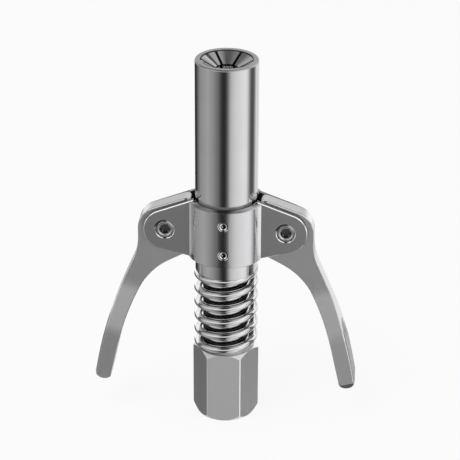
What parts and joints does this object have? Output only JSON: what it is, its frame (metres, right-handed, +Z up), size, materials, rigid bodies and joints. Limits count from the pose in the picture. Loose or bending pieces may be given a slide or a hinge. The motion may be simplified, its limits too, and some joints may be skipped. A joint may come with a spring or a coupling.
{
  "type": "grease coupler",
  "caption": "Lever-release grease coupler: a spring-loaded sleeve on a hex-based stem closes sector jaws on a grease fitting, and two squeeze levers draw it back.",
  "frame": {"origin": "centre of the wrench hex's bottom face, on the coupler's axis", "axes": "+Z up the axis to the mouth that takes the fitting, X across the two levers, -Y toward the side with the pivot screws' heads"},
  "size_m": [0.0728, 0.021, 0.1059],
  "materials": {
    "hex_steel": "satin nickel-plated steel",
    "stem_steel": "turned steel",
    "sleeve_steel": "bright plated, finely turned",
    "bracket_steel": "bright plated, satin on the flat ears",
    "lever_steel": "satin plated casting with a knurled grip",
    "spring_steel": "bright plated spring wire",
    "screw_steel": "plated socket screws",
    "jaw_steel": "hardened steel, ground funnel",
    "ball_steel": "polished bearing ball",
    "seat_brass": "turned brass",
    "seal_rubber": "moulded nitrile rubber"
  },
  "bodies": {
    "root": {"hex_body": "hex_steel", "stem": "stem_steel", "seal_carrier": "stem_steel", "check_seat": "seat_brass", "check_spring": "spring_steel", "seal_spring": "spring_steel", "main_spring": "spring_steel"},
    "sleeve": {"sleeve_tube": "sleeve_steel", "front_bracket": "bracket_steel", "rear_bracket": "bracket_steel", "front_lower_screw": "screw_steel", "front_upper_screw": "screw_steel", "rear_lower_screw": "screw_steel", "rear_upper_screw": "screw_steel", "left_pivot_screw": "screw_steel", "right_pivot_screw": "screw_steel"},
    "left_lever": {"left_lever": "lever_steel"},
    "right_lever": {"right_lever": "lever_steel"},
    "check_valve": {"check_ball": "ball_steel"},
    "seal": {"seal_cup": "seal_rubber", "seal_follower": "seat_brass"},
    "jaw_1": {"jaw_1": "jaw_steel"},
    "jaw_2": {"jaw_2": "jaw_steel"},
    "jaw_3": {"jaw_3": "jaw_steel"},
    "jaw_4": {"jaw_4": "jaw_steel"},
    "jaw_5": {"jaw_5": "jaw_steel"},
    "jaw_6": {"jaw_6": "jaw_steel"}
  },
  "joints": [
    {"name": "sleeve_slide", "type": "slide", "parent": "root", "child": "sleeve", "axis": [0, 0, 1], "range_m": [-0.00385, 0], "stiffness_N_per_m": 6000, "springref_m": 0.005, "deforming": ["main_spring"]},
    {"name": "left_lever_pivot", "type": "hinge", "parent": "sleeve", "child": "left_lever", "pos_m": [-0.01644, 0, 0.0574], "axis": [0, -1, 0], "range_deg": [0, 21]},
    {"name": "right_lever_pivot", "type": "hinge", "parent": "sleeve", "child": "right_lever", "pos_m": [0.01644, 0, 0.0574], "axis": [0, 1, 0], "range_deg": [0, 21]},
    {"name": "check_ball_lift", "type": "slide", "parent": "root", "child": "check_valve", "axis": [0, 0, 1], "range_m": [0, 0.0008], "stiffness_N_per_m": 300, "springref_m": -0.002, "deforming": ["check_spring"]},
    {"name": "seal_float", "type": "slide", "parent": "root", "child": "seal", "axis": [0, 0, 1], "range_m": [-0.0012, 0], "stiffness_N_per_m": 1500, "springref_m": 0.0015, "deforming": ["seal_spring"]},
    {"name": "jaw_1_hinge", "type": "hinge", "parent": "root", "child": "jaw_1", "pos_m": [0, 0.004, 0.08705], "axis": [-1, 0, 0], "range_deg": [0, 2.6]},
    {"name": "jaw_2_hinge", "type": "hinge", "parent": "root", "child": "jaw_2", "pos_m": [-0.00346, 0.002, 0.08705], "axis": [-0.5, -0.866, 0], "range_deg": [0, 2.6]},
    {"name": "jaw_3_hinge", "type": "hinge", "parent": "root", "child": "jaw_3", "pos_m": [-0.00346, -0.002, 0.08705], "axis": [0.5, -0.866, 0], "range_deg": [0, 2.6]},
    {"name": "jaw_4_hinge", "type": "hinge", "parent": "root", "child": "jaw_4", "pos_m": [0, -0.004, 0.08705], "axis": [1, 0, 0], "range_deg": [0, 2.6]},
    {"name": "jaw_5_hinge", "type": "hinge", "parent": "root", "child": "jaw_5", "pos_m": [0.00346, -0.002, 0.08705], "axis": [0.5, 0.866, 0], "range_deg": [0, 2.6]},
    {"name": "jaw_6_hinge", "type": "hinge", "parent": "root", "child": "jaw_6", "pos_m": [0.00346, 0.002, 0.08705], "axis": [-0.5, 0.866, 0], "range_deg": [0, 2.6]}
  ],
  "couplings": [
    {"joint": "left_lever_pivot", "follows": "sleeve_slide", "rad_per_m": -95.19},
    {"joint": "right_lever_pivot", "follows": "sleeve_slide", "rad_per_m": -95.19},
    {"joint": "jaw_1_hinge", "follows": "sleeve_slide", "rad_per_m": -11.78},
    {"joint": "jaw_2_hinge", "follows": "sleeve_slide", "rad_per_m": -11.78},
    {"joint": "jaw_3_hinge", "follows": "sleeve_slide", "rad_per_m": -11.78},
    {"joint": "jaw_4_hinge", "follows": "sleeve_slide", "rad_per_m": -11.78},
    {"joint": "jaw_5_hinge", "follows": "sleeve_slide", "rad_per_m": -11.78},
    {"joint": "jaw_6_hinge", "follows": "sleeve_slide", "rad_per_m": -11.78}
  ]
}
